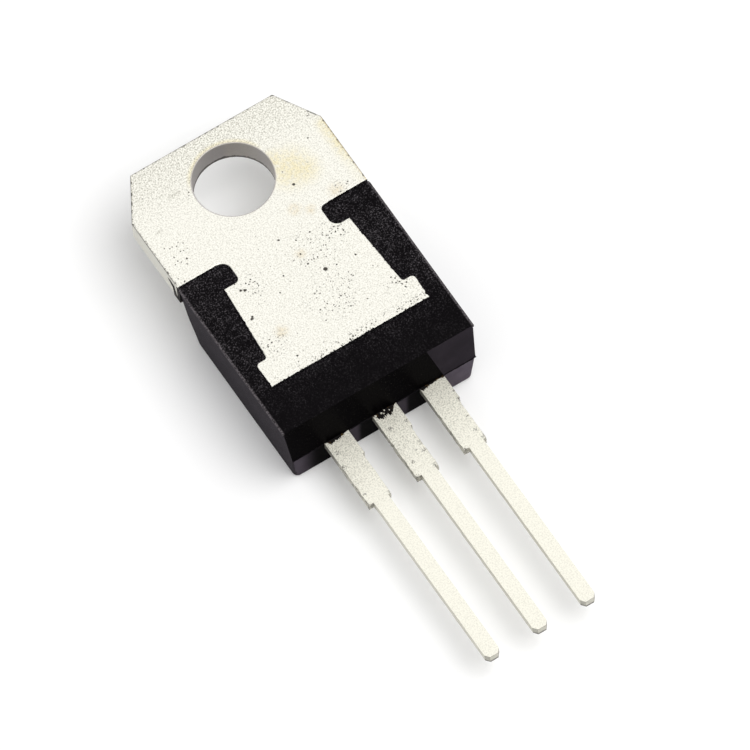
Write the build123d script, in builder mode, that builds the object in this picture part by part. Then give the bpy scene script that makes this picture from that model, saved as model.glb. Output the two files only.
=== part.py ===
from build123d import *
import os
from math import radians, tan

# Triac in a three-lead through-hole power package with a metal mounting tab, in millimetres
# The frame: the origin is the centre of the tab hole on the metal back face, +Z points out of that face,
# +Y points to the free end of the tab and the leads point to -Y, so the part lies on its moulded front

# Body envelope
body_length = 9.3
body_width = 10.1
body_thickness = 4.5

# Mounting tab, as wide as the body
tab_width = body_width
tab_length = 6.2
tab_thickness = 1.27
tab_corner_across = 1.26
tab_corner_along = 2.2
tab_front_edge_radius = 0.1
hole_diameter = 3.8
hole_to_tab_end = 2.8

# Neck and die paddle, the part of the heat sink that the moulding holds
neck_width = 5.0
neck_length = 1.25
notch_broad_radius = 0.45
notch_tight_radius = 0.25
paddle_cover_at_side = 0.85
paddle_cover_at_body_end = 2.52
coin_depth = 0.4
ledge_width_at_neck = 0.85
ledge_width_at_foot = 0.59
coin_corner_radius = 0.15
foot_length = 1.4
foot_corner_radius = 0.2

# Leads outside the moulding
lead_pitch = 2.54
lead_length = 13.55
lead_thickness = 0.45
lead_plane_depth = 2.52
root_width = 1.27
root_length = 1.38
shoulder_width = 1.16
shoulder_length = 2.45
trim_offset = 0.05
shank_width = 0.76
tip_width = 0.42
tip_length = 0.22

# Offset bend of the centre lead, from the paddle to the plane of the leads
riser_run_in = 0.35
riser_run_out = 0.75
riser_bend_radius = 0.45

# Inner pads of the two outer leads
pad_gap_to_centre_lead = 0.32
pad_gap_to_paddle = 0.35
pad_cover_at_side = 1.1
pad_cover_at_body_end = 0.75

# Die and its solder
die_size = 3.8
die_thickness = 0.28
solder_thickness = 0.05
solder_margin = 0.1

# Copper clips from the die to the outer leads
clip_thickness = 0.25
clip_bend_radius = 0.35
clip_rise_start = 0.9
clip_landing = 0.25
clip_end_margin = 0.25
main_foot_width = 2.4
main_foot_length = 2.6
main_foot_offset = 0.5
main_strip_width = 1.2
gate_strip_width = 0.6
gate_foot_length = 0.75
strip_gap_to_centre_lead = 0.4
joint_set_back = 0.2

# Moulded body
back_recess = 0.05
side_draft_angle = 4.0
tab_end_draft_angle = 6.0
lead_end_back_draft_angle = 4.0
lead_end_front_draft_angle = 6.0
tab_end_corner_radius = 0.2
tab_end_front_corner_radius = 0.55
lead_end_corner_radius = 0.1
lead_end_front_corner_radius = 0.3
front_edge_radius = 0.18
parting_lip = 0.05
parting_lip_depth = 0.18
ejector_mark_diameter = 2.0
ejector_mark_depth = 0.08
ejector_mark_to_lead_end = 2.6

# Clearance past a face for every cut
cut_overrun = 1.0

# Places along the package
tab_end_y = hole_to_tab_end
shoulder_y = tab_end_y - tab_length
neck_end_y = shoulder_y - neck_length
body_end_y = shoulder_y - body_length
paddle_end_y = body_end_y + paddle_cover_at_body_end
foot_y = paddle_end_y + foot_length
lead_tip_y = body_end_y - lead_length
pad_inner_y = paddle_end_y - pad_gap_to_paddle
pad_outer_y = body_end_y + pad_cover_at_body_end
die_y = (neck_end_y + paddle_end_y) / 2

# Places across the package
paddle_side_x = body_width / 2 - paddle_cover_at_side
pad_inner_x = root_width / 2 + pad_gap_to_centre_lead
pad_outer_x = body_width / 2 - pad_cover_at_side

# Depths below the back face
lead_front_depth = lead_plane_depth + lead_thickness
die_back_depth = tab_thickness + solder_thickness
die_front_depth = die_back_depth + die_thickness
foot_depth = die_front_depth + solder_thickness
landing_depth = lead_front_depth + solder_thickness

# Places of the clips
rise_start_y = die_y - die_size / 2 + clip_rise_start
rise_end_y = pad_inner_y + clip_landing
clip_end_y = pad_outer_y + clip_end_margin
strip_inner_x = root_width / 2 + strip_gap_to_centre_lead
main_strip_x = strip_inner_x + main_strip_width / 2
gate_strip_x = -strip_inner_x - gate_strip_width / 2
main_foot_start_y = rise_start_y + main_foot_length
gate_foot_start_y = rise_start_y + gate_foot_length


def slope(angle):
    """Sideways run of a drafted wall for each millimetre of depth."""
    return tan(radians(angle))


def lead_plan(x):
    """Plan of one lead from just inside the moulding to its tip, on the leads' back plane."""
    shoulder_start_y = body_end_y - root_length
    shoulder_end_y = shoulder_start_y - shoulder_length
    tip_start_y = lead_tip_y + tip_length
    trimmed_left = x - trim_offset - shoulder_width / 2
    trimmed_right = x - trim_offset + shoulder_width / 2
    with BuildSketch(Plane.XY.offset(-lead_plane_depth)) as plan:
        with BuildLine():
            Polyline(
                (x - root_width / 2, pad_outer_y),
                (x - root_width / 2, shoulder_start_y),
                (trimmed_left, shoulder_start_y),
                (trimmed_left, shoulder_end_y),
                (x - shank_width / 2, shoulder_end_y),
                (x - shank_width / 2, tip_start_y),
                (x - tip_width / 2, lead_tip_y),
                (x + tip_width / 2, lead_tip_y),
                (x + shank_width / 2, tip_start_y),
                (x + shank_width / 2, shoulder_end_y),
                (trimmed_right, shoulder_end_y),
                (trimmed_right, shoulder_start_y),
                (x + root_width / 2, shoulder_start_y),
                (x + root_width / 2, pad_outer_y),
                close=True,
            )
        make_face()
    return plan.sketch


def bent_strip(x, spine, bend_radius, thickness):
    """Side view of a bent strip, on the lengthwise plane at x."""
    with BuildSketch(Plane.YZ.offset(x)) as strip:
        with BuildLine():
            FilletPolyline(*spine, radius=bend_radius)
        trace(line_width=thickness)
    return strip.sketch


def clip_spine(foot_start_y):
    """Middle line of a clip, from its foot on the die to its end on a lead's pad."""
    foot_z = -foot_depth - clip_thickness / 2
    landing_z = -landing_depth - clip_thickness / 2
    return [
        (foot_start_y, foot_z),
        (rise_start_y, foot_z),
        (rise_end_y, landing_z),
        (clip_end_y, landing_z),
    ]


def body_section(depth, tab_end_radius, lead_end_radius, extra_half_width):
    """Outline of the moulding at a depth below the back face, with a corner radius for each end."""
    half_width = body_width / 2 + extra_half_width - depth * slope(side_draft_angle)
    tab_side_y = shoulder_y - max(0, depth - tab_thickness) * slope(tab_end_draft_angle)
    back_run = max(0, lead_plane_depth - depth) * slope(lead_end_back_draft_angle)
    front_run = max(0, depth - lead_plane_depth) * slope(lead_end_front_draft_angle)
    lead_side_y = body_end_y + back_run + front_run
    with BuildSketch(Plane.XY.offset(-depth)) as section:
        with BuildLine():
            Polyline(
                (-half_width, lead_side_y),
                (half_width, lead_side_y),
                (half_width, tab_side_y),
                (-half_width, tab_side_y),
                close=True,
            )
        make_face()
        fillet(section.vertices().group_by(Axis.Y)[-1], tab_end_radius)
        if lead_end_radius > 0:
            fillet(section.vertices().group_by(Axis.Y)[0], lead_end_radius)
    return section.sketch


os.makedirs("parts", exist_ok=True)

# Heat sink: tab, neck, die paddle and the centre lead, stamped and bent as one piece
with BuildPart() as heatsink_frame:
    with BuildSketch() as plate:
        with BuildLine():
            Polyline(
                (-tab_width / 2, shoulder_y),
                (tab_width / 2, shoulder_y),
                (tab_width / 2, tab_end_y - tab_corner_along),
                (tab_width / 2 - tab_corner_across, tab_end_y),
                (tab_corner_across - tab_width / 2, tab_end_y),
                (-tab_width / 2, tab_end_y - tab_corner_along),
                close=True,
            )
        make_face()
        with Locations((0, (shoulder_y + paddle_end_y) / 2)):
            Rectangle(2 * paddle_side_x, shoulder_y - paddle_end_y)
        # Two locking notches leave the neck between them, each with a broad and a tight corner
        notch_width = (tab_width - neck_width) / 2 + cut_overrun
        for side in (-1, 1):
            with Locations((side * (neck_width + notch_width) / 2, (shoulder_y + neck_end_y) / 2)):
                Rectangle(notch_width, neck_length, mode=Mode.SUBTRACT)
        notch_corners = [
            (-neck_width / 2, shoulder_y, notch_broad_radius),
            (-neck_width / 2, neck_end_y, notch_tight_radius),
            (neck_width / 2, shoulder_y, notch_tight_radius),
            (neck_width / 2, neck_end_y, notch_broad_radius),
        ]
        for corner_x, corner_y, radius in notch_corners:
            fillet(plate.vertices().sort_by_distance((corner_x, corner_y))[0], radius)
    extrude(amount=-tab_thickness)
    Hole(hole_diameter / 2)
    # Coined ledges on the back, which the moulding grips
    with BuildSketch() as ledges:
        ledge_outer_x = paddle_side_x + cut_overrun
        with BuildLine():
            Polyline(
                (paddle_side_x - ledge_width_at_neck, neck_end_y),
                (paddle_side_x - ledge_width_at_foot, foot_y),
                (ledge_outer_x, foot_y),
                (ledge_outer_x, neck_end_y),
                close=True,
            )
        make_face()
        fillet(ledges.vertices().group_by(Axis.Y)[0].sort_by(Axis.X)[0], coin_corner_radius)
        mirror(about=Plane.YZ)
    extrude(amount=-coin_depth, mode=Mode.SUBTRACT)
    upright_edges = heatsink_frame.edges().filter_by(Axis.Z).sort_by(Axis.X)
    foot_edges = upright_edges.filter_by(lambda edge: abs(edge.center().Y - foot_y) < foot_corner_radius)
    fillet([foot_edges[0], foot_edges[-1]], foot_corner_radius)
    # Rounded front edge round the free part of the tab
    tab_front = heatsink_frame.faces().sort_by(Axis.Z)[0]
    tab_rim_start_y = shoulder_y + tab_front_edge_radius
    tab_rim = tab_front.outer_wire().edges().filter_by(lambda edge: edge.center().Y > tab_rim_start_y)
    fillet(tab_rim, tab_front_edge_radius)
    # Centre lead
    paddle_strip_z = lead_thickness / 2 - tab_thickness
    lead_strip_z = -lead_plane_depth - lead_thickness / 2
    riser_spine = [
        (paddle_end_y + lead_thickness, paddle_strip_z),
        (paddle_end_y - riser_run_in, paddle_strip_z),
        (body_end_y + riser_run_out, lead_strip_z),
        (body_end_y, lead_strip_z),
    ]
    riser = bent_strip(0, riser_spine, riser_bend_radius, lead_thickness)
    extrude(riser, amount=root_width / 2, both=True)
    extrude(lead_plan(0), amount=-lead_thickness)
heatsink_frame.part.label = "heatsink_frame"
export_step(heatsink_frame.part, "parts/heatsink_frame.step")

# First main terminal lead, on +X
with BuildPart() as main_lead:
    extrude(lead_plan(lead_pitch), amount=-lead_thickness)
    with BuildSketch(Plane.XY.offset(-lead_plane_depth)):
        with Locations(((pad_inner_x + pad_outer_x) / 2, (pad_inner_y + pad_outer_y) / 2)):
            Rectangle(pad_outer_x - pad_inner_x, pad_inner_y - pad_outer_y)
    extrude(amount=-lead_thickness)
main_lead.part.label = "main_terminal_lead"
export_step(main_lead.part, "parts/main_terminal_lead.step")

# Gate lead, on -X
with BuildPart() as gate_lead:
    extrude(lead_plan(-lead_pitch), amount=-lead_thickness)
    with BuildSketch(Plane.XY.offset(-lead_plane_depth)):
        with Locations((-(pad_inner_x + pad_outer_x) / 2, (pad_inner_y + pad_outer_y) / 2)):
            Rectangle(pad_outer_x - pad_inner_x, pad_inner_y - pad_outer_y)
    extrude(amount=-lead_thickness)
gate_lead.part.label = "gate_lead"
export_step(gate_lead.part, "parts/gate_lead.step")

# Solder layer under the die
with BuildPart() as die_solder:
    with BuildSketch(Plane.XY.offset(-tab_thickness)):
        with Locations((0, die_y)):
            Rectangle(die_size + 2 * solder_margin, die_size + 2 * solder_margin)
    extrude(amount=-solder_thickness)
die_solder.part.label = "die_solder"
export_step(die_solder.part, "parts/die_solder.step")

# Silicon die
with BuildPart() as die:
    with BuildSketch(Plane.XY.offset(-die_back_depth)):
        with Locations((0, die_y)):
            Rectangle(die_size, die_size)
    extrude(amount=-die_thickness)
die.part.label = "triac_die"
export_step(die.part, "parts/triac_die.step")

# Clip from the main terminal of the die to its lead, with a broad foot
with BuildPart() as main_clip:
    main_strip = bent_strip(main_strip_x, clip_spine(main_foot_start_y), clip_bend_radius, clip_thickness)
    extrude(main_strip, amount=main_strip_width / 2, both=True)
    with BuildSketch(Plane.XY.offset(-foot_depth)):
        with Locations((main_foot_offset, (main_foot_start_y + rise_start_y + joint_set_back) / 2)):
            Rectangle(main_foot_width, main_foot_length - joint_set_back)
    extrude(amount=-clip_thickness)
main_clip.part.label = "main_terminal_clip"
export_step(main_clip.part, "parts/main_terminal_clip.step")

# Narrow clip from the gate corner of the die to the gate lead
with BuildPart() as gate_clip:
    gate_strip = bent_strip(gate_strip_x, clip_spine(gate_foot_start_y), clip_bend_radius, clip_thickness)
    extrude(gate_strip, amount=gate_strip_width / 2, both=True)
gate_clip.part.label = "gate_clip"
export_step(gate_clip.part, "parts/gate_clip.step")

# Four solder joints that hold the clips to the die and to the pads of the outer leads
with BuildPart() as clip_solder:
    with BuildSketch(Plane.XY.offset(-die_front_depth)):
        joint_end_y = rise_start_y + joint_set_back
        with Locations((main_foot_offset, (main_foot_start_y + joint_end_y) / 2)):
            Rectangle(main_foot_width, main_foot_start_y - joint_end_y)
        with Locations((gate_strip_x, (gate_foot_start_y + joint_end_y) / 2)):
            Rectangle(gate_strip_width, gate_foot_start_y - joint_end_y)
    extrude(amount=-solder_thickness)
    with BuildSketch(Plane.XY.offset(-lead_front_depth)):
        landing_y = (pad_inner_y + clip_end_y) / 2
        with Locations((main_strip_x, landing_y)):
            Rectangle(main_strip_width, pad_inner_y - clip_end_y)
        with Locations((gate_strip_x, landing_y)):
            Rectangle(gate_strip_width, pad_inner_y - clip_end_y)
    extrude(amount=-solder_thickness)
clip_solder.part.label = "clip_solder"
export_step(clip_solder.part, "parts/clip_solder.step")

# Moulded body, cast round everything above
inserts = [heatsink_frame, main_lead, gate_lead, die_solder, die, main_clip, gate_clip, clip_solder]
with BuildPart() as moulded_body:
    lip = [
        body_section(back_recess, tab_end_corner_radius, 0, parting_lip),
        body_section(parting_lip_depth, tab_end_corner_radius, 0, parting_lip),
    ]
    loft(lip, ruled=True)
    beside_tab = [
        body_section(back_recess, tab_end_corner_radius, 0, 0),
        body_section(tab_thickness, tab_end_corner_radius, 0, 0),
    ]
    loft(beside_tab, ruled=True)
    behind_leads = [
        body_section(tab_thickness, tab_end_corner_radius, 0, 0),
        body_section(lead_plane_depth, tab_end_corner_radius, 0, 0),
    ]
    loft(behind_leads, ruled=True)
    front_half = [
        body_section(lead_plane_depth, tab_end_corner_radius, lead_end_corner_radius, 0),
        body_section(body_thickness, tab_end_front_corner_radius, lead_end_front_corner_radius, 0),
    ]
    loft(front_half, ruled=True)
    fillet(moulded_body.faces().sort_by(Axis.Z)[0].edges(), front_edge_radius)
    with BuildSketch(Plane.XY.offset(-body_thickness)):
        with Locations((0, body_end_y + ejector_mark_to_lead_end)):
            Circle(ejector_mark_diameter / 2)
    extrude(amount=ejector_mark_depth, mode=Mode.SUBTRACT)
    for insert in inserts:
        add(insert.part, mode=Mode.SUBTRACT)
moulded_body.part.label = "moulded_body"
export_step(moulded_body.part, "parts/moulded_body.step")
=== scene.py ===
import math
import random

import bmesh
import bpy
from mathutils import Matrix, Vector, noise


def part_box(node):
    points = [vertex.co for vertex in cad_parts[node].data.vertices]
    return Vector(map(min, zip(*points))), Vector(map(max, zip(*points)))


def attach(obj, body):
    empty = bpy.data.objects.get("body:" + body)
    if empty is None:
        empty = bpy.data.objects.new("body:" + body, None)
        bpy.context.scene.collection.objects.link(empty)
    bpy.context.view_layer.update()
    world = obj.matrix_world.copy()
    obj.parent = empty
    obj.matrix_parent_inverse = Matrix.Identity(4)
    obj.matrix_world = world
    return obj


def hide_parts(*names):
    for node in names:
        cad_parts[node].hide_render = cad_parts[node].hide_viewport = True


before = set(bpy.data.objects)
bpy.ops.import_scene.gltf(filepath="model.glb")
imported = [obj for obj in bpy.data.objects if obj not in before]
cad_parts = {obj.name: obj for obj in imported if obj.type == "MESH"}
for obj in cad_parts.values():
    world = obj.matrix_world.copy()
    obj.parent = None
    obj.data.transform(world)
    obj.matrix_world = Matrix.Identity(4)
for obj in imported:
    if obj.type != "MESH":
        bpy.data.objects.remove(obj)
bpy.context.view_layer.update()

# Lengths below are in millimetres and the scene is in metres
MM = 0.001

# Camera: where it looks, from which side, how far and how long its lens is
camera_aim = (0.53, -11.096, -2.25)
camera_heading = 24.514
camera_elevation = 60.435
camera_roll = 8.253
camera_distance = 1372.83
camera_lens = 1456.63
camera_sensor = 36.0

# Light: a soft lamp at the right in front, and a sky that is brighter overhead
key_heading = 143.0
key_elevation = 66.0
key_spread = 48.0
key_strength = 1.88
sky_at_horizon = 0.20
sky_overhead = 0.76
sky_height_shares = (0.2, 0.9)
floor_size = 3000.0
floor_segments = 4
floor_grey = 0.97
floor_glow_share = 0.13
white = (1.0, 1.0, 1.0, 1.0)

# Places that the frame gives
plate_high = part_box("heatsink_frame")[1] / MM
body_low, body_high = (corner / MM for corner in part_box("moulded_body"))
gate_low, gate_high = (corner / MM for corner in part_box("gate_lead"))
tab_end_y = plate_high.y
tab_half_width = plate_high.x
shoulder_y = body_high.y
body_end_y = body_low.y
body_back_z = body_high.z
lead_back_z = gate_high.z
lead_front_z = gate_low.z
tip_y = gate_low.y
floor_z = body_low.z

# Tab
tab_thickness = 1.27
tab_corner_across = 1.26
tab_corner_along = 2.2
hole_radius = 1.9

# Window of bare metal in the moulding's back: half widths and places along the part
neck_half_width = 2.5
neck_end_y = -4.65
arm_half_width_at_neck = 3.35
arm_half_width_at_foot = 3.61
foot_y = -8.78
foot_half_width = 4.2
paddle_end_y = -10.18

# Leads
lead_pitch = 2.54
root_width = 1.27
root_length = 1.38
shoulder_length = 2.45
root_end_y = body_end_y - root_length
shoulder_end_y = root_end_y - shoulder_length
lead_places = {"gate_lead": -lead_pitch, "heatsink_frame": 0.0, "main_terminal_lead": lead_pitch}

# Lip of the moulding, the groove below it and the drafted wall that follows
lip_depth = 0.18
groove_depth = 0.05
groove_height = 0.07
side_draft = math.radians(4.0)
side_wall_half_width = 5.0375

# Where the lead end above the leads turns from painted deep shade to painted reflected light, beside the last
# lead
bright_corner_x = 3.175
bright_corner_slant = 0.241

# Edge forms
weld_distance = 0.0002
flat_angle = math.radians(1.0)
sharp_angle = math.radians(38.0)
smooth_limit = math.radians(34.0)
curved_face_limit = 1.2
metal_edge_radius = 0.035
lead_edge_radius = 0.022
body_edge_radius = 0.05
edge_segments = 2
body_edge_segments = 3


def scaled(point):
    """A point in millimetres as a vector in metres."""
    return Vector(point) * MM


# Mesh helpers


def solid_copy(node_name):
    """A welded copy of a CAD node's mesh, with its flat faces whole, in millimetres."""
    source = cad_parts[node_name].data
    bm = bmesh.new()
    corners = [bm.verts.new(vertex.co / MM) for vertex in source.vertices]
    for polygon in source.polygons:
        bm.faces.new([corners[index] for index in polygon.vertices])
    bmesh.ops.remove_doubles(bm, verts=bm.verts, dist=weld_distance)
    bmesh.ops.dissolve_limit(bm, angle_limit=flat_angle, verts=bm.verts, edges=bm.edges)
    bmesh.ops.recalc_face_normals(bm, faces=bm.faces)
    return bm


def middle(edge):
    """Middle point of an edge."""
    return (edge.verts[0].co + edge.verts[1].co) / 2


def is_sharp(edge):
    """True for an edge between two faces that meet at a clear angle."""
    return len(edge.link_faces) == 2 and edge.calc_face_angle(0.0) > sharp_angle


def round_edges(bm, edges, radius, segments=edge_segments):
    """Rounds the given edges."""
    bmesh.ops.bevel(
        bm, geom=list(edges), offset=radius, offset_type="OFFSET", segments=segments,
        profile=0.5, affect="EDGES", clamp_overlap=True,
    )


def cut_edges(bm, chosen, spacing):
    """Cuts the chosen edges into pieces of about the spacing, so that opposite edges stay matched."""
    by_count = {}
    for edge in bm.edges:
        count = int(round(edge.calc_length() / spacing)) - 1
        if count > 0 and chosen(edge):
            by_count.setdefault(count, []).append(edge)
    for count, edges in sorted(by_count.items()):
        bmesh.ops.subdivide_edges(bm, edges=edges, cuts=count, use_grid_fill=True)


def is_curved(face):
    """True for a small face of a round form, which is shaded smoothly."""
    bends = [edge.calc_face_angle(0.0) for edge in face.edges if len(edge.link_faces) == 2]
    bent = sum(flat_angle < bend < smooth_limit for bend in bends) >= 2
    return bent and len(face.verts) == 4 and face.calc_area() < curved_face_limit * MM ** 2


def place_object(name, data):
    """A new object in the scene."""
    made = bpy.data.objects.new(name, data)
    bpy.context.scene.collection.objects.link(made)
    return made


def add_object(name, bm, material):
    """Turns a mesh in millimetres into a piece of the part."""
    bmesh.ops.scale(bm, vec=(MM, MM, MM), verts=bm.verts)
    bmesh.ops.recalc_face_normals(bm, faces=bm.faces)
    curved = [is_curved(face) for face in bm.faces]
    mesh = bpy.data.meshes.new(name)
    bm.to_mesh(mesh)
    bm.free()
    mesh.set_sharp_from_angle(angle=smooth_limit)
    mesh.polygons.foreach_set("use_smooth", curved)
    mesh.materials.append(material)
    piece = place_object(name, mesh)
    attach(piece, "root")
    return piece


def add_prism(bm, outline, low, high):
    """Adds a closed slab between two heights, from points that go round its outline."""
    bottom = [bm.verts.new((x, y, low)) for x, y in outline]
    top = [bm.verts.new((x, y, high)) for x, y in outline]
    bm.faces.new(list(reversed(bottom)))
    bm.faces.new(top)
    for index in range(len(outline)):
        following = (index + 1) % len(outline)
        bm.faces.new((bottom[index], bottom[following], top[following], top[index]))


def add_tube(bm, rows):
    """Adds a closed bar through rows of points, each row being one cross section."""
    made = [[bm.verts.new(point) for point in row] for row in rows]
    for first, second in zip(made, made[1:]):
        for index in range(len(first)):
            following = (index + 1) % len(first)
            bm.faces.new((first[index], first[following], second[following], second[index]))
    bm.faces.new(made[0])
    bm.faces.new(list(reversed(made[-1])))


def between(profile, share):
    """Value of a profile, a list of shares and values, at a share of its way."""
    for (start, first), (end, second) in zip(profile, profile[1:]):
        if start <= share <= end:
            return first + (second - first) * (share - start) / (end - start)
    return 0.0


def ragged_slab(bm, start, end, reach_at, inset, low, high, spacing):
    """Adds a thin slab along a line, with a ragged free edge on the left of the line."""
    begin = Vector(start)
    way = Vector(end) - begin
    left = Vector((-way.y, way.x)).normalized()
    count = max(2, int(round(way.length / spacing)))
    base = [begin - left * inset, begin + way - left * inset]
    free = [begin + way * (step / count) + left * reach_at(step / count) for step in range(count, -1, -1)]
    add_prism(bm, [(point.x, point.y) for point in base + free], low, high)


# Material helpers

# Smallest pit as a share of the largest, and a pit's soft rim as shares of its radius
small_pit_share = 0.4
pit_rim_shares = (0.6, 1.1)
# Upward facing of a surface, between an upright wall and a flat face
upright_facings = (0.5, 0.9)


def node(tree, kind, inputs=None, **settings):
    """Adds a shader node, and sets or links its inputs."""
    made = tree.nodes.new("ShaderNode" + kind)
    for name, value in settings.items():
        setattr(made, name, value)
    for key, value in (inputs or {}).items():
        if isinstance(value, bpy.types.NodeSocket):
            tree.links.new(value, made.inputs[key])
        else:
            made.inputs[key].default_value = value
    return made


def calc(tree, operation, first, second=0.0):
    """One sum in a material."""
    return node(tree, "Math", {0: first, 1: second}, operation=operation).outputs[0]


def vector_calc(tree, operation, *inputs):
    """One sum with places or directions in a material."""
    return node(tree, "VectorMath", dict(enumerate(inputs)), operation=operation).outputs


def most(tree, values):
    """Largest of several values."""
    result = values[0]
    for value in values[1:]:
        result = calc(tree, "MAXIMUM", result, value)
    return result


def product(tree, *values):
    """Values multiplied together."""
    result = values[0]
    for value in values[1:]:
        result = calc(tree, "MULTIPLY", result, value)
    return result


def blend(tree, amount, first, second, mode="MIX"):
    """Mixes two colours."""
    inputs = {0: amount, 6: first, 7: second}
    return node(tree, "Mix", inputs, data_type="RGBA", blend_type=mode).outputs[2]


def ramp(tree, value, bounds, amounts):
    """Goes smoothly between two amounts while the value crosses the bounds."""
    inputs = {"Value": value, 1: bounds[0], 2: bounds[1], 3: amounts[0], 4: amounts[1]}
    return node(tree, "MapRange", inputs, interpolation_type="SMOOTHSTEP").outputs[0]


def rise(tree, value, bounds, amount=1.0):
    """0 below the bounds and the amount past them."""
    return ramp(tree, value, bounds, (0.0, amount))


def fall(tree, value, bounds, amount=1.0):
    """The amount below the bounds and 0 past them."""
    return ramp(tree, value, bounds, (amount, 0.0))


def millimetres(tree):
    """Place on the piece, in millimetres."""
    place = node(tree, "TexCoord").outputs["Object"]
    return node(tree, "VectorMath", {0: place, 3: 1 / MM}, operation="SCALE").outputs[0]


def along(tree, place, axis):
    """One coordinate of a place or direction."""
    return node(tree, "SeparateXYZ", {0: place}).outputs[axis]


def facing(tree):
    """Direction that the surface faces, without its bump."""
    return node(tree, "NewGeometry").outputs["True Normal"]


def wall_share(tree):
    """1 on faces that stand upright and 0 on faces that lie flat."""
    return fall(tree, calc(tree, "ABSOLUTE", along(tree, facing(tree), 2)), upright_facings)


def grain(tree, place, size, detail, roughness, offset=0.0):
    """Soft noise whose spots are about the given size."""
    inputs = {"Vector": place, "Scale": 1 / size, "Detail": detail, "Roughness": roughness, "W": offset}
    return node(tree, "TexNoise", inputs, noise_dimensions="4D").outputs["Fac"]


def in_plan(tree, place):
    """A place brought down to the plane of the back face."""
    return vector_calc(tree, "MULTIPLY", place, (1.0, 1.0, 0.0))[0]


def wavering(tree, place, size, amount):
    """A place moved about by noise, so that what is drawn with it gets an uneven rim."""
    drift = node(tree, "TexNoise", {"Vector": place, "Scale": 1 / size}).outputs["Color"]
    centred = vector_calc(tree, "SUBTRACT", drift, (0.5, 0.5, 0.5))[0]
    return vector_calc(tree, "MULTIPLY_ADD", centred, (amount, amount, amount), place)[0]


def spot(tree, place, centre, inner, outer):
    """1 within the inner radius of a point and 0 past the outer radius."""
    away = vector_calc(tree, "DISTANCE", place, centre)["Value"]
    return fall(tree, away, (inner, outer))


def spots(tree, place, marks, soft_share):
    """Round marks on the back face, given by x, y and radius."""
    drawn = [spot(tree, place, (x, y, 0.0), radius * (1 - soft_share), radius) for x, y, radius in marks]
    return most(tree, drawn)


def pits(tree, place, size, share, radius):
    """Round pits in a share of the cells of a random pattern."""
    pattern = node(tree, "TexVoronoi", {"Vector": place, "Scale": 1 / size})
    chance = node(tree, "SeparateColor", {0: pattern.outputs["Color"]})
    present = calc(tree, "LESS_THAN", chance.outputs["Red"], share)
    radii = (small_pit_share * radius / size, radius / size)
    reach = ramp(tree, chance.outputs["Green"], (0.0, 1.0), radii)
    inside = fall(tree, calc(tree, "DIVIDE", pattern.outputs["Distance"], reach), pit_rim_shares)
    return product(tree, inside, present)


def new_material(name, **constants):
    """A material and its node tree, with constants set on the sockets of its surface shader."""
    material = bpy.data.materials.new(name)
    material.use_nodes = True
    tree = material.node_tree
    for key, value in constants.items():
        tree.nodes["Principled BSDF"].inputs[key].default_value = value
    return material, tree


def finish_surface(material, colour, fine, roughness_fade, height, bump):
    """Joins colour, roughness that follows the fine grain, and bump to the surface shader."""
    tree = material.node_tree
    sockets = tree.nodes["Principled BSDF"].inputs
    strength, depth = bump
    bumped = node(tree, "Bump", {"Height": height, "Strength": strength, "Distance": depth * MM})
    tree.links.new(colour, sockets["Base Color"])
    tree.links.new(ramp(tree, fine, *roughness_fade), sockets["Roughness"])
    tree.links.new(bumped.outputs[0], sockets["Normal"])
    return material


def shown_directly(tree):
    """1 for what is seen straight, mirrored or through glass, and 0 for scattered light."""
    rays = node(tree, "LightPath").outputs
    return most(tree, [rays["Is Camera Ray"], rays["Is Glossy Ray"], rays["Is Transmission Ray"]])


# Values of the finishes: a grain is size, detail, roughness and offset, a fade is bounds and their amounts

# Noise levels over which a grain changes the roughness
grain_levels = (0.3, 0.7)

# Tin: colours
tin_cream = (0.86, 0.847, 0.778, 1.0)
# tin_shade is the dark of the grain and scuffs, and also the painted shade of upright walls
tin_shade = (0.38, 0.366, 0.303, 1.0)
dipped_cream = (0.84, 0.822, 0.728, 1.0)
# Painted shade: grey tin that darkens the wall of the hole
painted_hole_shade_tin = (0.42, 0.395, 0.385, 1.0)
tin_dark = (0.05, 0.044, 0.036, 1.0)
stain_yellow = (0.94, 0.875, 0.66, 1.0)
stain_brown = (0.86, 0.77, 0.62, 1.0)

# Tin: share of metal, waver of its marks by size and reach, grain, and bump by strength and depth
tin_metal_share = 0.5
mark_waver = (0.08, 0.09)
fine_grain = (0.072, 1.0, 0.5)
fine_shade_levels = (0.28, 0.62)
medium_grain = (0.2, 2.0, 0.55, 7.0)
medium_shade_fade = ((0.34, 0.54), 0.2)
noise_middle = 0.5
tin_bump = (0.4, 0.014)

# Heat sink: depth of its grain from the hole to the tab's end, its grain on upright walls, painted shade on
# those walls, and its roughness
plate_grain_fade = ((-0.6, tab_end_y), (0.48, 0.94))
wall_grain_fade = ((0.0, 1.0), (1.0, 0.8))
plate_wall_painted_shade = 0.32
plate_roughness = (grain_levels, (0.62, 0.46))

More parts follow.
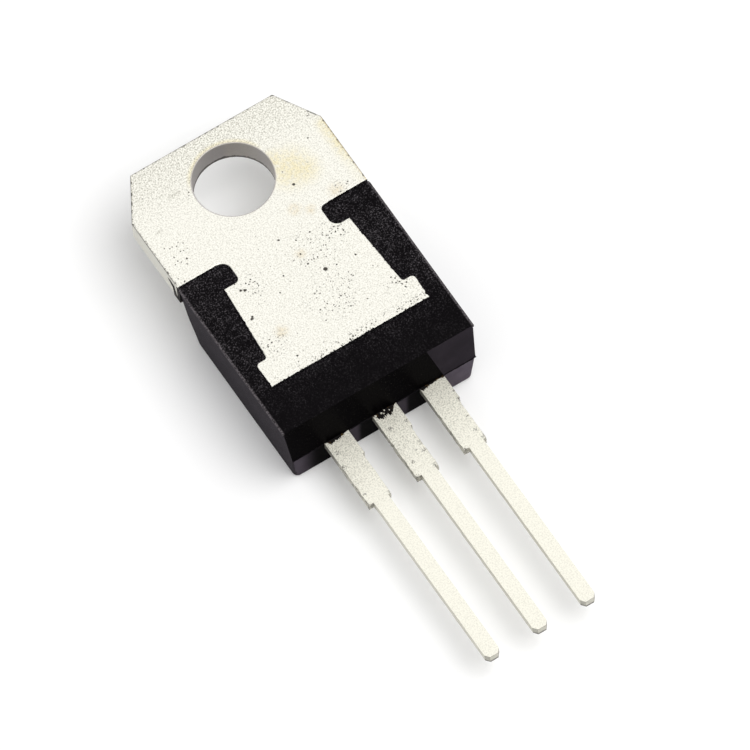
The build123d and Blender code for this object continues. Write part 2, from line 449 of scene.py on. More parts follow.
# Large pits in the tin by x, y and radius
large_pits = [
    (1.03, -6.32, 0.125), (0.04, -3.85, 0.07), (0.70, -4.30, 0.05), (1.46, -4.28, 0.05),
    (0.49, -5.02, 0.06), (0.51, -5.64, 0.065), (1.57, -6.40, 0.055), (2.55, -6.44, 0.055),
    (2.14, -1.76, 0.08), (-1.33, -6.21, 0.05), (-0.74, -5.56, 0.05), (-2.38, -9.43, 0.06),
    (-0.35, -8.60, 0.05), (-0.27, -8.00, 0.045), (0.98, -8.60, 0.05), (0.05, -10.07, 0.055),
    (3.27, -8.34, 0.05), (-3.91, -2.33, 0.055), (-3.10, -6.67, 0.09), (-3.02, -6.58, 0.07),
    (-2.75, -5.12, 0.08), (-2.58, -5.22, 0.09), (3.95, -0.05, 0.05), (2.06, -0.92, 0.035),
    (4.25, -3.0, 0.04), (-4.44, -1.06, 0.030), (-4.49, -1.32, 0.038), (-4.28, -1.46, 0.043),
    (-4.15, -1.46, 0.038), (-3.97, -1.53, 0.036), (-3.80, -1.39, 0.032), (-3.63, -1.55, 0.036),
    (-3.95, -1.85, 0.038), (-3.81, -1.90, 0.044), (-3.61, -1.88, 0.032), (-4.36, -1.95, 0.038),
    (-4.04, -2.58, 0.036), (-4.50, -2.32, 0.034), (-4.32, -2.23, 0.042), (-4.22, -2.36, 0.034),
    (-4.61, -3.29, 0.055), (-4.79, -3.01, 0.036), (-3.95, 1.42, 0.036), (-2.12, 0.41, 0.034),
    (-2.03, 0.56, 0.042), (3.40, -8.49, 0.05), (3.47, -8.75, 0.05), (3.53, -8.92, 0.045),
    (3.56, -9.13, 0.05), (3.72, -8.95, 0.045), (2.49, -4.64, 0.05), (2.43, -4.92, 0.055),
    (2.77, -5.05, 0.05), (2.22, -4.90, 0.045), (2.54, -5.18, 0.05), (2.20, -4.76, 0.04),
    (2.59, -4.83, 0.045), (1.98, -4.86, 0.045),
]
large_pit_softness = 0.35
# Groups of fine pits by x, y and radius
pitted_areas = [
    (2.36, -4.90, 1.1), (-2.2, -5.15, 1.0), (1.0, -5.3, 1.7), (-2.9, -8.3, 1.0),
    (0.6, -7.6, 1.8), (3.4, -8.9, 0.9), (4.7, 0.95, 0.35), (3.9, -3.1, 0.6),
]
pitted_area_softness = 0.8
# Fine pits by size of cell, share of cells that have one, and radius
grouped_pits = (0.105, 0.58, 0.047)
loose_pits = (0.36, 0.30, 0.045)
foot_pits = (0.1, 0.75, 0.052)
dust_pits = (0.17, 0.30, 0.03)
lead_pits = (0.3, 0.16, 0.042)
# Where the fine pits lie along and across the part
loose_pit_fade = ((-4.0, -1.0), (1.0, 0.25))
foot_pit_span = (paddle_end_y + 0.2, paddle_end_y + 0.6)
foot_pit_fade = ((-3.0, -0.5), (0.35, 1.0))
dust_fade = ((neck_end_y, shoulder_y), (0.6, 0.2))
pitted_heights = (-0.02, -0.008)

# Faint scuffs in the tin by x, y and radius
scuffs = [
    (-2.90, 0.84, 0.13), (-2.74, 0.83, 0.13), (-2.58, 0.82, 0.14), (-2.40, 0.83, 0.12),
    (-4.27, -0.46, 0.13), (-4.10, -0.43, 0.12),
]
scuff_softness = 0.7
scuff_fade = ((0.3, 0.65), (0.75, 0.25))

# Stains on the tin by x, y and radius, patchy with the medium grain
yellow_stains = [(2.45, -0.94, 1.6), (2.0, -0.2, 0.9), (2.9, -1.3, 1.2)]
yellow_softness = 0.95
yellow_fade = ((0.3, 0.6), (0.35, 1.0))
brown_stains = [(-2.33, -7.97, 0.5), (0.49, -5.02, 0.4), (1.5, -2.9, 0.5), (2.1, -3.3, 0.4), (3.6, -3.1, 0.6)]
brown_softness = 0.9
brown_fade = ((0.35, 0.6), (0.2, 0.7))
# Stains beside the tab's right edge and above the hole
stained_heights = (-0.12, -0.02)
edge_stain_widths = (0.0, 0.7)
edge_stain_fade = ((-2.6, -1.2), (0.25, 1.0))
edge_stain_end = (0.2, 0.75)
edge_line_fade = ((0.02, 0.10), 0.9)
edge_line_end = (0.4, 0.7)
hole_stain_fade = ((hole_radius + 0.05, hole_radius + 0.3), 0.8)
hole_stain_start = (0.4, 1.4)

# Dark rim of the tab's back: a thin line, and a broad one where the medium grain is high
thin_rim_fade = ((0.01, 0.06), 0.65)
broad_rim_fade = ((0.03, 0.12), 0.95)
broad_rim_levels = (0.50, 0.58)
rim_start = (shoulder_y, shoulder_y + 0.3)
rim_heights = (-0.06, -0.03)

# Hole: painted shade on its wall, lighter on +X where more light falls in, and the dark line round its back
# edge, which also covers the wall
hole_wall_ring = (hole_radius + 0.03, hole_radius + 0.06)
hole_wall_heights = (-0.08, -0.02)
hole_wall_across = (0.4, 1.7)
hole_line_fade = ((hole_radius + 0.03, hole_radius + 0.08), 0.85)

# Torn metal at the front edge of the punched walls, higher in the hole than round the tab
torn_height_fade = ((hole_radius + 0.1, hole_radius + 0.3), (0.16, 0.05))
torn_drift = 0.3
torn_fade = ((0.7, 1.2), 0.85)
torn_start = (shoulder_y, shoulder_y + 0.05)


def tab_rim_distance(tree, place):
    """Distance in from the free outline of the tab, past its cut corners."""
    side = calc(tree, "SUBTRACT", tab_half_width, calc(tree, "ABSOLUTE", along(tree, place, 0)))
    end = calc(tree, "SUBTRACT", tab_end_y, along(tree, place, 1))
    slant = math.hypot(tab_corner_across, tab_corner_along)
    across = product(tree, side, tab_corner_along / slant)
    lengthwise = product(tree, end, tab_corner_across / slant)
    corner = calc(tree, "ADD", across, lengthwise)
    corner = calc(tree, "SUBTRACT", corner, tab_corner_across * tab_corner_along / slant)
    return calc(tree, "MINIMUM", calc(tree, "MINIMUM", side, end), corner)


def tin_grain(tree, place, depth):
    """Mottled shade of the tin's fine grain, with the noise that makes it."""
    fine = grain(tree, place, *fine_grain)
    medium = grain(tree, place, *medium_grain)
    shade = calc(tree, "ADD", fall(tree, fine, fine_shade_levels), fall(tree, medium, *medium_shade_fade))
    return fine, medium, calc(tree, "MINIMUM", product(tree, shade, depth), 1.0)


def tin_stains(tree, place, uneven, medium, from_axis, colour):
    """The tin's colour with its yellow and brown stains."""
    y = along(tree, place, 1)
    side = calc(tree, "SUBTRACT", tab_half_width, along(tree, place, 0))
    on_top = rise(tree, along(tree, place, 2), stained_heights)
    patchy = ramp(tree, medium, *yellow_fade)
    yellow = product(tree, spots(tree, uneven, yellow_stains, yellow_softness), patchy)
    beside_edge = product(tree, ramp(tree, y, *edge_stain_fade), fall(tree, y, edge_stain_end, on_top))
    right_edge = product(tree, fall(tree, side, edge_stain_widths), beside_edge, patchy)
    above_hole = product(tree, fall(tree, from_axis, *hole_stain_fade), rise(tree, y, hole_stain_start))
    colour = blend(tree, most(tree, [yellow, right_edge, above_hole]), colour, stain_yellow, "MULTIPLY")
    brown = product(tree, spots(tree, uneven, brown_stains, brown_softness), ramp(tree, medium, *brown_fade))
    edge_line = product(tree, fall(tree, side, *edge_line_fade), fall(tree, y, edge_line_end, on_top))
    return blend(tree, most(tree, [brown, edge_line]), colour, stain_brown, "MULTIPLY")


def tin_pits(tree, place, uneven):
    """Dark pits in the back face: large ones, and fine ones in groups and loose."""
    y = along(tree, place, 1)
    across_foot = ramp(tree, along(tree, place, 0), *foot_pit_fade)
    amounts = {
        grouped_pits: spots(tree, place, pitted_areas, pitted_area_softness),
        loose_pits: ramp(tree, y, *loose_pit_fade),
        foot_pits: product(tree, fall(tree, y, foot_pit_span), across_foot),
        dust_pits: ramp(tree, y, *dust_fade),
    }
    marks = [spots(tree, uneven, large_pits, large_pit_softness)]
    marks += [product(tree, pits(tree, uneven, *kind), amount) for kind, amount in amounts.items()]
    return product(tree, most(tree, marks), rise(tree, along(tree, place, 2), pitted_heights))


def tab_rim(tree, place, medium):
    """Dark line round the free edge of the tab's back, broader here and there."""
    inside = tab_rim_distance(tree, place)
    broad = product(tree, fall(tree, inside, *broad_rim_fade), rise(tree, medium, broad_rim_levels))
    rim = most(tree, [fall(tree, inside, *thin_rim_fade), broad])
    on_tab = rise(tree, along(tree, place, 1), rim_start)
    return product(tree, rim, on_tab, rise(tree, along(tree, place, 2), rim_heights))


def hole_painted_shade(tree, place, from_axis):
    """Painted shade on the wall of the hole, lighter towards +X, and a dark line along its back edge."""
    below = fall(tree, along(tree, place, 2), hole_wall_heights)
    across = fall(tree, along(tree, place, 0), hole_wall_across)
    wall = product(tree, fall(tree, from_axis, hole_wall_ring), below, across)
    return most(tree, [wall, fall(tree, from_axis, *hole_line_fade)])


def torn_edge(tree, place, medium, from_axis, on_wall):
    """Dark torn metal along the front edge of the tab's walls."""
    height = ramp(tree, from_axis, *torn_height_fade)
    drift = product(tree, calc(tree, "SUBTRACT", medium, noise_middle), torn_drift)
    above = calc(tree, "ADD", calc(tree, "ADD", along(tree, place, 2), tab_thickness), drift)
    torn = fall(tree, calc(tree, "DIVIDE", above, height), *torn_fade)
    return product(tree, torn, on_wall, rise(tree, along(tree, place, 1), torn_start))


def make_tin_plate():
    """Dull tin plating on the heat sink: cream, finely grained, pitted and stained here and there."""
    material, tree = new_material("dull_tin", Metallic=tin_metal_share)
    place = millimetres(tree)
    uneven = wavering(tree, place, *mark_waver)
    on_wall = wall_share(tree)
    from_axis = vector_calc(tree, "LENGTH", in_plan(tree, place))["Value"]
    depth = ramp(tree, along(tree, place, 1), *plate_grain_fade)
    depth = product(tree, depth, ramp(tree, on_wall, *wall_grain_fade))
    fine, medium, shade = tin_grain(tree, place, depth)
    # Painted shade on upright walls, darker than the flat back
    shade = most(tree, [shade, product(tree, on_wall, plate_wall_painted_shade)])
    colour = blend(tree, shade, tin_cream, tin_shade)
    scuffed = product(tree, spots(tree, uneven, scuffs, scuff_softness), ramp(tree, fine, *scuff_fade))
    colour = blend(tree, scuffed, colour, tin_shade)
    colour = tin_stains(tree, place, uneven, medium, from_axis, colour)
    # Painted shade on the wall of the hole, lighter towards +X
    colour = blend(tree, hole_painted_shade(tree, place, from_axis), colour, painted_hole_shade_tin)
    marks = tin_pits(tree, place, uneven)
    torn = torn_edge(tree, place, medium, from_axis, on_wall)
    colour = blend(tree, most(tree, [marks, tab_rim(tree, place, medium), torn]), colour, tin_dark)
    height = calc(tree, "SUBTRACT", fine, marks)
    return finish_surface(material, colour, fine, plate_roughness, height, tin_bump)


# Leads: grain from the shank to the root, painted shade on upright walls, and their roughness and bump
lead_grain_span = (shoulder_end_y - 2.0, body_end_y)
lead_grain_fade = ((0.0, 1.0), (0.28, 0.75))
lead_wall_painted_shade = 0.44
lead_roughness = (grain_levels, (0.60, 0.45))
shank_bump_share = 0.35

# Worn marks on each lead, by x from its middle, y and radius
lead_marks = {
    "gate_lead": [
        (-0.55, -14.25, 0.16), (-0.50, -15.95, 0.13), (-0.66, -16.50, 0.15), (0.50, -16.45, 0.12),
        (-0.42, -13.45, 0.18),
    ],
    "heatsink_frame": [
        (-0.31, -13.72, 0.20), (0.56, -13.75, 0.14), (0.48, -15.05, 0.17), (0.40, -15.50, 0.17),
        (0.43, -16.42, 0.19), (-0.60, -16.50, 0.19), (-0.35, -15.75, 0.12), (0.10, -15.30, 0.09),
    ],
    "main_terminal_lead": [
        (0.60, -13.65, 0.13), (0.57, -14.05, 0.15), (0.40, -15.10, 0.10), (0.48, -16.40, 0.19),
        (-0.58, -16.50, 0.15), (0.33, -15.90, 0.15),
    ],
}
lead_mark_softness = 0.85
smudge_fade = ((0.35, 0.60), (0.9, 0.15))

# Dark sheared walls of the leads: patchy where they were trimmed, and even at the root, where painted shade
# of the moulding is added to the dark sheared metal
trimmed_start = (shoulder_end_y - 0.3, shoulder_end_y)
trimmed_fade = ((0.44, 0.60), (0.1, 0.6))
root_wall_fade = ((root_end_y, root_end_y + 0.3), 0.6)

# Burr round the lead ends: where they are, and its fades along front and back; the slanted faces at the ends
# are darker too
tip_facings = (-0.6, -0.4)
tip_span = (tip_y + 0.3, tip_y + 0.4)
front_burr_fade = ((lead_front_z + 0.06, lead_front_z + 0.14), (0.95, 0.12))
back_burr_fade = ((lead_back_z - 0.09, lead_back_z - 0.02), 0.55)
darker_slant_fade = ((-0.95, -0.85), 0.4)
patchy_burr_fade = ((0.3, 0.6), (0.65, 1.0))


def sheared_tip(tree, place, medium):
    """Dark burr along the front and back edges of the leads' end faces, where they were cut off, and darker
    slanted faces at the tips.
    """
    facing_y = along(tree, facing(tree), 1)
    z = along(tree, place, 2)
    at_end = product(tree, fall(tree, facing_y, tip_facings), fall(tree, along(tree, place, 1), tip_span))
    front = ramp(tree, z, *front_burr_fade)
    back = rise(tree, z, *back_burr_fade)
    slant = rise(tree, facing_y, *darker_slant_fade)
    return product(tree, most(tree, [front, back, slant]), at_end, ramp(tree, medium, *patchy_burr_fade))


def make_lead_tin():
    """Dipped tin on the leads: grey and grainy at the root, smooth and creamy towards the tip."""
    material, tree = new_material("dipped_tin", Metallic=tin_metal_share)
    place = millimetres(tree)
    uneven = wavering(tree, place, *mark_waver)
    y = along(tree, place, 1)
    on_wall = wall_share(tree)
    root = rise(tree, y, lead_grain_span)
    fine, medium, shade = tin_grain(tree, place, ramp(tree, root, *lead_grain_fade))
    # Painted shade on upright walls of the leads
    shade = most(tree, [shade, product(tree, on_wall, lead_wall_painted_shade)])
    colour = blend(tree, shade, dipped_cream, tin_shade)
    wear_and_highlight = []
    for node_name, marks in lead_marks.items():
        wear_and_highlight += [(lead_places[node_name] + x, mark_y, radius) for x, mark_y, radius in marks]
    smudges = spots(tree, in_plan(tree, uneven), wear_and_highlight, lead_mark_softness)
    smudges = product(tree, smudges, ramp(tree, fine, *smudge_fade))
    trimmed = product(tree, on_wall, ramp(tree, medium, *trimmed_fade), rise(tree, y, trimmed_start))
    # At the root: dark sheared metal and painted shade of the moulding
    at_root = product(tree, on_wall, rise(tree, y, *root_wall_fade))
    small = product(tree, pits(tree, uneven, *lead_pits), root)
    dark = most(tree, [smudges, trimmed, at_root, small, sheared_tip(tree, place, medium)])
    colour = blend(tree, dark, colour, tin_dark)
    height = product(tree, fine, calc(tree, "ADD", root, shank_bump_share))
    return finish_surface(material, colour, fine, lead_roughness, height, tin_bump)


# Moulding compound: colours, grain, patches, specks and bump
compound_black = (0.0014, 0.0011, 0.0013, 1.0)
compound_sheen = (0.95, 0.87, 1.0, 1.0)
# Painted reflected light: purple grey that lightens the lead end and the sides
painted_reflection_compound = (0.095, 0.0795, 0.1, 1.0)
# Painted highlight along the back edges of the moulding
painted_highlight_compound = (0.115, 0.104, 0.11, 1.0)
compound_grain = (0.068, 2.0, 0.6)
patch_grain = (0.7, 2.0, 0.5, 4.0)
patch_mottle = (-0.03, 0.03)
patch_painted_light = (0.9, 1.1)
speck_levels = (0.48, 0.80)
speckled_fade = ((body_end_y + 1.0, foot_y), (0.25, 1.25))
compound_bump = (0.4, 0.02)

# Painted highlight along the back edges of the moulding, dotted with the fine grain
highlight_side_widths = (0.06, 0.14)
highlight_end_widths = (0.05, 0.11)
highlight_heights = (-lip_depth, 0.06 - lip_depth)
highlight_fade = ((0.35, 0.62), (0.15, 1.0))

# Painted reflected light on the lead end below the leads: at its left and right, and past two of the leads
left_painted_reflection_fade = ((-4.7, -3.5), 0.68)
right_painted_reflection_start = (2.5, 2.9)
right_painted_reflection_fade = ((3.0, 4.9), (0.85, 1.0))
leads_with_painted_reflection = ("gate_lead", "heatsink_frame")
lead_painted_reflection_overlap = 0.2
lead_painted_reflection_span = (0.4, 0.75)
lead_painted_reflection_amount = 0.5


def end_painted_reflection(tree, place):
    """Painted reflected light on the lead end below the leads: at its corners and beside the leads."""
    x = along(tree, place, 0)
    left = fall(tree, x, *left_painted_reflection_fade)
    right = product(tree, rise(tree, x, right_painted_reflection_start), ramp(tree, x, *right_painted_reflection_fade))
    beside = []
    for node_name in leads_with_painted_reflection:
        edge = lead_places[node_name] + root_width / 2
        past_lead = calc(tree, "GREATER_THAN", x, edge - lead_painted_reflection_overlap)
        bounds = [edge + distance for distance in lead_painted_reflection_span]
        beside.append(product(tree, fall(tree, x, bounds, lead_painted_reflection_amount), past_lead))
    return most(tree, [left, right, *beside])


def even_painted_light(amount):
    """The same painted reflected light all over a face."""
    return lambda tree, place: amount


# Finishes of the moulding: gloss as an index of refraction, colour of the specks, roughness and painted
# reflected light
compound_finishes = {
    # Side, satin and lead end finishes are lighter as painted reflected light, the deep one darker as painted
    # shade
    "black_compound": (1.12, (0.085, 0.078, 0.084, 1.0), (0.55, 0.7), None),
    "side_compound": (1.045, (0.016, 0.0135, 0.0165, 1.0), (0.4, 0.5), even_painted_light(0.28)),
    "deep_painted_shade_compound": (1.045, (0.002, 0.0016, 0.0019, 1.0), (0.25, 0.35), None),
    "satin_painted_light_compound": (1.045, (0.008, 0.0062, 0.0082, 1.0), (0.4, 0.5), even_painted_light(0.25)),
    "painted_reflection_compound": (1.045, (0.002, 0.0016, 0.0019, 1.0), (0.4, 0.5), end_painted_reflection),
}


def make_mould_compound(name, gloss, specks, roughness, painted_light):
    """Black moulding compound: mottled, with light specks, a painted highlight along its back edges, and
    painted reflected light where its finish has it.
    """
    material, tree = new_material(name, **{"IOR": gloss, "Specular Tint": compound_sheen})
    place = millimetres(tree)
    fine = grain(tree, place, *compound_grain)
    patch = grain(tree, place, *patch_grain)
    mottle = calc(tree, "ADD", fine, ramp(tree, patch, grain_levels, patch_mottle))
    y = along(tree, place, 1)
    speckled = product(tree, rise(tree, mottle, speck_levels), ramp(tree, y, *speckled_fade))
    colour = blend(tree, speckled, compound_black, specks)
    side = calc(tree, "SUBTRACT", body_high.x, calc(tree, "ABSOLUTE", along(tree, place, 0)))
    end = calc(tree, "SUBTRACT", y, body_end_y)
    # Painted highlight along the back edges, dotted with the fine grain
    near_edge = most(tree, [fall(tree, side, highlight_side_widths), fall(tree, end, highlight_end_widths)])
    on_back = rise(tree, along(tree, place, 2), highlight_heights)
    wear_and_highlight = product(tree, near_edge, on_back, ramp(tree, fine, *highlight_fade))
    colour = blend(tree, wear_and_highlight, colour, painted_highlight_compound)
    # Painted reflected light, patchy with the coarse grain
    if painted_light is not None:
        amount = product(tree, painted_light(tree, place), ramp(tree, patch, grain_levels, patch_painted_light))
        colour = blend(tree, amount, colour, painted_reflection_compound)
    return finish_surface(material, colour, fine, (grain_levels, roughness), fine, compound_bump)


# Thin skin of compound on the metal
resin_black = (0.006, 0.005, 0.005, 1.0)
resin_brown = (0.075, 0.043, 0.012, 1.0)
resin_gloss = 1.16
resin_grain = (0.12, 2.0, 0.6, 2.0)
resin_brown_levels = (0.56, 0.72)
resin_roughness = (grain_levels, (0.65, 0.45))
resin_bump = (0.4, 0.015)


def make_resin_flash():
    """Thin skin of moulding compound that bled over the metal, brown where it is thinnest."""
    material, tree = new_material("resin_flash", IOR=resin_gloss)
    fine = grain(tree, millimetres(tree), *resin_grain)
    colour = blend(tree, rise(tree, fine, resin_brown_levels), resin_black, resin_brown)
    return finish_surface(material, colour, fine, resin_roughness, fine, resin_bump)


# Pieces sealed inside: share of metal, dark and light colour, and grain
sealed_silicon = (0.2, (0.05, 0.055, 0.065, 1.0), (0.09, 0.095, 0.11, 1.0), (0.4, 3.0, 0.6))
sealed_solder = (0.9, (0.36, 0.36, 0.38, 1.0), (0.55, 0.55, 0.56, 1.0), (0.15, 3.0, 0.6))
sealed_copper = (1.0, (0.62, 0.30, 0.16, 1.0), (0.80, 0.42, 0.25, 1.0), (0.2, 3.0, 0.6))
sealed_roughness = ((0.2, 0.8), (0.30, 0.48))
sealed_bump = (0.2, 0.008)


def make_sealed(name, metal_share, dark, light, own_grain):
    """Plain grained finish for a piece sealed inside the moulding."""
    material, tree = new_material(name, Metallic=metal_share)
    fine = grain(tree, millimetres(tree), *own_grain)
    colour = blend(tree, fine, dark, light)
    return finish_surface(material, colour, fine, sealed_roughness, fine, sealed_bump)


def make_floor():
    """Plain white floor that keeps the shadows."""
    material = bpy.data.materials.new("white_floor")
    material.use_nodes = True
    tree = material.node_tree
    tree.nodes.clear()
    amount = product(tree, shown_directly(tree), floor_glow_share)
    matte = node(tree, "BsdfDiffuse", {"Color": (floor_grey, floor_grey, floor_grey, 1.0)})
    glow = node(tree, "Emission", {"Color": white, "Strength": 1.0})
    mixed = node(tree, "MixShader", {0: amount, 1: matte.outputs[0], 2: glow.outputs[0]})
    node(tree, "OutputMaterial", {"Surface": mixed.outputs[0]})
    return material


tin_plate = make_tin_plate()
lead_tin = make_lead_tin()
body_compounds = [make_mould_compound(name, *values) for name, values in compound_finishes.items()]
mould_compound = body_compounds[0]
resin_flash = make_resin_flash()
silicon = make_sealed("sealed_silicon", *sealed_silicon)
solder = make_sealed("sealed_solder", *sealed_solder)
copper = make_sealed("sealed_copper", *sealed_copper)

# Pieces that replace a solid

# Tolerances of places and of heights
place_tolerance = 0.01
flush_tolerance = 0.001

# Uneven edges of the leads: spacing of their points, depth and waves in each millimetre
trim_spacing = 0.075
trim_depth = 0.04
trim_waves = 9.0
shank_spacing = 0.35
shank_depth = 0.008
shank_waves = 2.5
lengthwise_depth_share = 0.6
# Length of lead that keeps its form at the moulding, and overlaps of the trimmed stretch
kept_root_length = 0.02
trim_over_root = 0.05
trim_over_shank = 0.03
# Seed of the noise, and the place in it, moved on from lead to lead
lead_noise_seed = 5
lead_noise_step = 7.0
lead_noise_start = 31.0

# Heat sink: depth of its rounded back edges, and where the finish of the leads starts
plate_edge_depth = 0.2
lead_finish_y = paddle_end_y - 0.3

# Facing of a flat face, and of one at the lead end
flat_facing = 0.6
end_facing = 0.8

# Rounded edges of the moulding: in from its sides and lead end, above its lip and leads
side_edge_inset = 0.12
above_lip = 0.02
end_edge_inset = 0.3
above_leads = 0.05


def roughen_lead(bm, x):
    """Uneven edges on one lead: ragged where it was trimmed, nearly straight below."""
    def outside(edge):
        point = middle(edge)
        return point.y < body_end_y and abs(point.x - x) < root_width and is_sharp(edge)

    def trimmed(edge):
        return outside(edge) and middle(edge).y > shoulder_end_y - place_tolerance

    def straight(edge):
        return outside(edge) and middle(edge).y < shoulder_end_y - place_tolerance

    cut_edges(bm, trimmed, trim_spacing)
    cut_edges(bm, straight, shank_spacing)
    noise.seed_set(lead_noise_seed)
    start = Vector((x * lead_noise_step, 0.0, lead_noise_start))
    for vertex in bm.verts:
        point = vertex.co.copy()
        if point.y > body_end_y - kept_root_length or abs(point.x - x) > root_width:
            continue
        ragged = root_end_y + trim_over_root > point.y > shoulder_end_y - trim_over_shank
        depth = trim_depth if ragged else shank_depth
        waves = trim_waves if ragged else shank_waves
        shift = noise.noise_vector(point * waves + start)
        vertex.co.x += shift.x * depth
        vertex.co.y += shift.y * depth * lengthwise_depth_share


def make_lead(node_name):
    """One outer lead with its trimmed edges."""
    bm = solid_copy(node_name)
    roughen_lead(bm, lead_places[node_name])
    visible = [edge for edge in bm.edges if is_sharp(edge) and middle(edge).y < body_end_y]
    round_edges(bm, visible, lead_edge_radius)
    piece = add_object(node_name + "_tinned", bm, lead_tin)
    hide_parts(node_name)


def make_heatsink():
    """Tab, neck, paddle and centre lead, with rounded edges."""
    bm = solid_copy("heatsink_frame")
    roughen_lead(bm, lead_places["heatsink_frame"])
    plate_edges = [edge for edge in bm.edges if is_sharp(edge) and middle(edge).z > -plate_edge_depth]
    round_edges(bm, plate_edges, metal_edge_radius)
    lead_edges = [edge for edge in bm.edges if is_sharp(edge) and middle(edge).y < body_end_y]
    round_edges(bm, lead_edges, lead_edge_radius)
    piece = add_object("heatsink_frame_tinned", bm, tin_plate)
    piece.data.materials.append(lead_tin)
    for polygon in piece.data.polygons:
        polygon.material_index = int(polygon.center.y / MM < lead_finish_y)
    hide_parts("heatsink_frame")


def cut_groove(bm):
    """Cuts a groove under the lip along both sides of the moulding."""
    everything = bm.verts[:] + bm.edges[:] + bm.faces[:]
    groove_end = (0.0, 0.0, -lip_depth - groove_height)
    bmesh.ops.bisect_plane(bm, geom=everything, plane_co=groove_end, plane_no=(0.0, 0.0, 1.0))
    for vertex in bm.verts:
        under_lip = abs(vertex.co.z + lip_depth) < flush_tolerance
        on_wall = abs(abs(vertex.co.x) - side_wall_half_width) < place_tolerance
        if under_lip and on_wall:
            vertex.co.x -= math.copysign(groove_depth, vertex.co.x)


def cut_faces(bm, faces, point, normal):
    """Cuts flat faces along a plane, without changing the form."""
    parts = set(faces)
    for face in faces:
        parts.update(face.edges)
        parts.update(face.verts)
    bmesh.ops.bisect_plane(bm, geom=list(parts), plane_co=point, plane_no=normal)


def upper_end_faces(bm):
    """Flat faces of the lead end above the leads."""
    at_end = [face for face in bm.faces if face.normal.y < -end_facing]
    return [face for face in at_end if face.calc_center_median().z > lead_back_z]


def body_finish(centre, normal):
    """Number of the compound's finish on a face: back, side with painted light, deep with painted shade,
    satin with painted light, or lead end with painted reflection.
    """
    if abs(normal.z) > flat_facing:
        return 0
    if normal.y > -end_facing:
        return 1
    if centre.z > lead_back_z:
        return 3 if centre.x > bright_corner_x - bright_corner_slant * (centre.z - lead_back_z) else 2
    return 4


def make_body():
    """The moulding, with its outer edges rounded and a groove under its lip."""
    bm = solid_copy("moulded_body")
    cut_groove(bm)
    # The cut parts the lead end above the leads into painted shade and painted reflected light
    corner_cut = (bright_corner_x, 0.0, lead_back_z)
    cut_faces(bm, upper_end_faces(bm), corner_cut, (1.0, 0.0, bright_corner_slant))
    skin = []
    for edge in bm.edges:
        point = middle(edge)
        at_side = abs(point.x) > body_high.x - side_edge_inset and point.z > above_lip - lip_depth
        at_end = point.y < body_end_y + end_edge_inset and point.z > lead_back_z + above_leads
        if is_sharp(edge) and (at_side or at_end):
            skin.append(edge)
    round_edges(bm, skin, body_edge_radius, body_edge_segments)
    piece = add_object("moulded_body_cast", bm, mould_compound)
    for finish in body_compounds[1:]:
        piece.data.materials.append(finish)
    for polygon in piece.data.polygons:
        polygon.material_index = body_finish(polygon.center / MM, polygon.normal)
    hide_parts("moulded_body")


# Flash from the moulding

flash_thickness = 0.012
flash_sink = 0.004
flash_seed = 7

# Flash on the roots of the leads
root_flash_inset = 0.05
root_flash_spacing = 0.035
root_flash_change_share = 0.35
# Reach of the flash down each lead, by the share of the lead's width from its left edge
root_flash_profiles = {
    "gate_lead": [
        (0.0, 0.0), (0.12, 0.06), (0.16, 0.24), (0.3, 0.25),
        (0.36, 0.15), (0.7, 0.13), (0.8, 0.04), (1.0, 0.0),
    ],
    "heatsink_frame": [
        (0.0, 0.05), (0.1, 0.2), (0.2, 0.36), (0.45, 0.34),
        (0.6, 0.38), (0.75, 0.27), (0.85, 0.08), (1.0, 0.0),
    ],
    "main_terminal_lead": [
        (0.0, 0.06), (0.05, 0.2), (0.25, 0.16), (0.35, 0.09),
        (0.6, 0.06), (0.85, 0.05), (0.92, 0.12), (1.0, 0.06),
    ],
}
# Flakes of bare tin on the centre lead, by x, distance from the moulding and radius
bare_flakes = [
    (-0.52, 0.10, 0.06), (-0.22, 0.12, 0.07), (-0.02, 0.05, 0.05), (-0.12, 0.19, 0.04), (0.18, 0.16, 0.04),
]
flake_corners = 9
flake_radius_shares = (0.6, 1.15)

# Rim of the window: its height, and by stretch the usual reach, the rare reach and its share
window_flash_high = 0.008
bottom_rim = (0.03, 0.08, 0.15)
left_rim = (0.02, 0.05, 0.2)
right_rim = (0.035, 0.09, 0.2)
shoulder_rim = (0.015, 0.04, 0.1)
rim_reach_shares = (0.3, 1.0)
bottom_rim_inset = 0.04
side_rim_inset = 0.03
rim_spacing = 0.06
side_rim_spacing = 0.07
# Gaps in the rim at the rounded corners of the window
arm_rim_gap = 0.3
foot_rim_gap = 0.4
shoulder_rim_gap = 0.45

# Rib on the parting line of the lead end
rib_inset = 0.03
rib_half_height = 0.045
rib_reach = 0.055
rib_reach_shares = (0.55, 1.0)
rib_spacing = 0.09
rib_gap_at_lead = 0.01
# Rib round the right corner, by distance from the lead end and the direction it stands out in
rib_corner = [(0.0, 0.75, -0.75), (0.1, 0.8, 0.0), (0.35, 0.1, 0.0)]


def uneven_reach(profile, dice, share_of_change):
    """A reach along a profile, changed at random from point to point."""
    def reach(share):
        change = dice.uniform(1 - share_of_change, 1 + share_of_change)
        return between(profile, share) * change

    return reach


def add_flake(bm, x, y, radius, low, high, dice):
    """Adds a small slab with an uneven round outline."""
    outline = []
    for step in range(flake_corners):
        angle = 2 * math.pi * step / flake_corners
        reach = radius * dice.uniform(*flake_radius_shares)
        outline.append((x + reach * math.cos(angle), y + reach * math.sin(angle)))
    add_prism(bm, outline, low, high)


